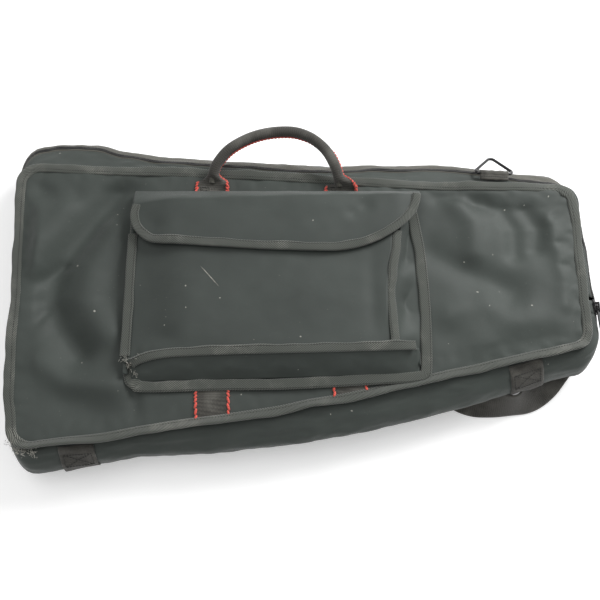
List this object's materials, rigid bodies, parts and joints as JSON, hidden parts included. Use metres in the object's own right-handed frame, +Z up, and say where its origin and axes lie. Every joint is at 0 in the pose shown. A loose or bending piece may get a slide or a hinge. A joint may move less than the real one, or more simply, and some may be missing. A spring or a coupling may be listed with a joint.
{
  "type": "soft percussion carry bag",
  "caption": "Tapered soft carry bag for a mallet bell kit, with a zipped lid, a flap pocket, a folded webbing handle, a strap ring and a webbing loop.",
  "frame": {"origin": "the middle of the back panel's underside, which rests on the floor", "axes": "+Z up out of the front panel, X along the bag from its wide end to its narrow end, +Y towards the handle and the zip"},
  "size_m": [0.6764, 0.3964, 0.0927],
  "materials": {
    "shell_nylon": "coated woven nylon with a soft sheen",
    "binding_tape": "twill seam binding",
    "webbing": "ribbed webbing",
    "edge_stitching": "raised thread",
    "zip_tape": "woven tape",
    "zip_coil": "nylon coil",
    "black_wire": "black coated steel wire",
    "slider_metal": "black lacquered die casting",
    "hook_and_loop": "napped tape",
    "handle_core": "foam rod"
  },
  "bodies": {
    "bag_back": {"back_panel": "shell_nylon", "back_binding": "binding_tape", "bottom_gusset": "shell_nylon", "zip_gusset_back_top": "shell_nylon", "zip_gusset_back_wide_end": "shell_nylon", "zip_gusset_back_narrow_end": "shell_nylon", "zip_tape_back": "zip_tape", "zip_coil_back": "zip_coil", "zip_coil_ends": "zip_coil", "zip_end_stops": "slider_metal", "gusset_patch_wide_end": "webbing", "gusset_patch_narrow_end": "webbing", "webbing_loop": "webbing"},
    "lid": {"front_panel": "shell_nylon", "front_binding": "binding_tape", "zip_gusset_front_top": "shell_nylon", "zip_gusset_front_wide_end": "shell_nylon", "zip_gusset_front_narrow_end": "shell_nylon", "zip_tape_front": "zip_tape", "zip_coil_front": "zip_coil", "webbing_strip_left": "webbing", "webbing_strip_right": "webbing", "edge_stitching_left": "edge_stitching", "edge_stitching_right": "edge_stitching", "handle_tab_left": "webbing", "handle_tab_right": "webbing", "pocket_gusset_left": "shell_nylon", "pocket_gusset_right": "shell_nylon", "pocket_gusset_bottom": "shell_nylon", "pocket_front": "shell_nylon", "pocket_base_binding": "binding_tape", "pocket_front_binding": "binding_tape", "closure_loop_tape": "hook_and_loop", "flap_root": "shell_nylon", "ring_sleeve": "webbing"},
    "flap": {"pocket_flap": "shell_nylon", "flap_binding": "binding_tape", "closure_hook_tape": "hook_and_loop"},
    "handle": {"handle_grip": "webbing", "handle_core": "handle_core", "handle_stitching": "edge_stitching"},
    "ring": {"strap_ring": "black_wire"},
    "slider_wide": {"zip_slider_wide_end": "slider_metal"},
    "pull_wide": {"slider_pull_wide_end": "slider_metal"},
    "slider_narrow": {"zip_slider_narrow_end": "slider_metal"},
    "pull_narrow": {"slider_pull_narrow_end": "slider_metal"}
  },
  "joints": [
    {"name": "lid_open", "type": "hinge", "parent": "bag_back", "child": "lid", "pos_m": [0, -0.1375, 0.059], "axis": [0.9934, 0.1146, 0], "range_deg": [0, 115]},
    {"name": "flap_open", "type": "hinge", "parent": "lid", "child": "flap", "pos_m": [-0.0199, 0.09691, 0.0886], "axis": [-0.9991, 0.0419, 0], "range_deg": [0, 150]},
    {"name": "handle_swing", "type": "hinge", "parent": "lid", "child": "handle", "pos_m": [-0.02, 0.1185, 0.073], "axis": [-0.9936, 0.1132, 0], "range_deg": [-80, 10]},
    {"name": "ring_swing", "type": "hinge", "parent": "lid", "child": "ring", "pos_m": [0.239, 0.1235, 0.06], "axis": [0.9934, -0.1146, 0], "range_deg": [0, 182]},
    {"name": "slider_wide_travel", "type": "slide", "parent": "bag_back", "child": "slider_wide", "axis": [0, 1, 0], "range_m": [0, 0.21]},
    {"name": "pull_wide_swing", "type": "hinge", "parent": "slider_wide", "child": "pull_wide", "pos_m": [-0.32676, -0.1095, 0.05527], "axis": [-0.7359, 0, -0.6771], "range_deg": [0, 175]},
    {"name": "slider_narrow_travel", "type": "slide", "parent": "bag_back", "child": "slider_narrow", "axis": [0, 1, 0], "range_m": [0, 0.105]},
    {"name": "pull_narrow_swing", "type": "hinge", "parent": "slider_narrow", "child": "pull_narrow", "pos_m": [0.3349, -0.0475, 0.05527], "axis": [-0.7359, 0, 0.6771], "range_deg": [0, 175]}
  ]
}
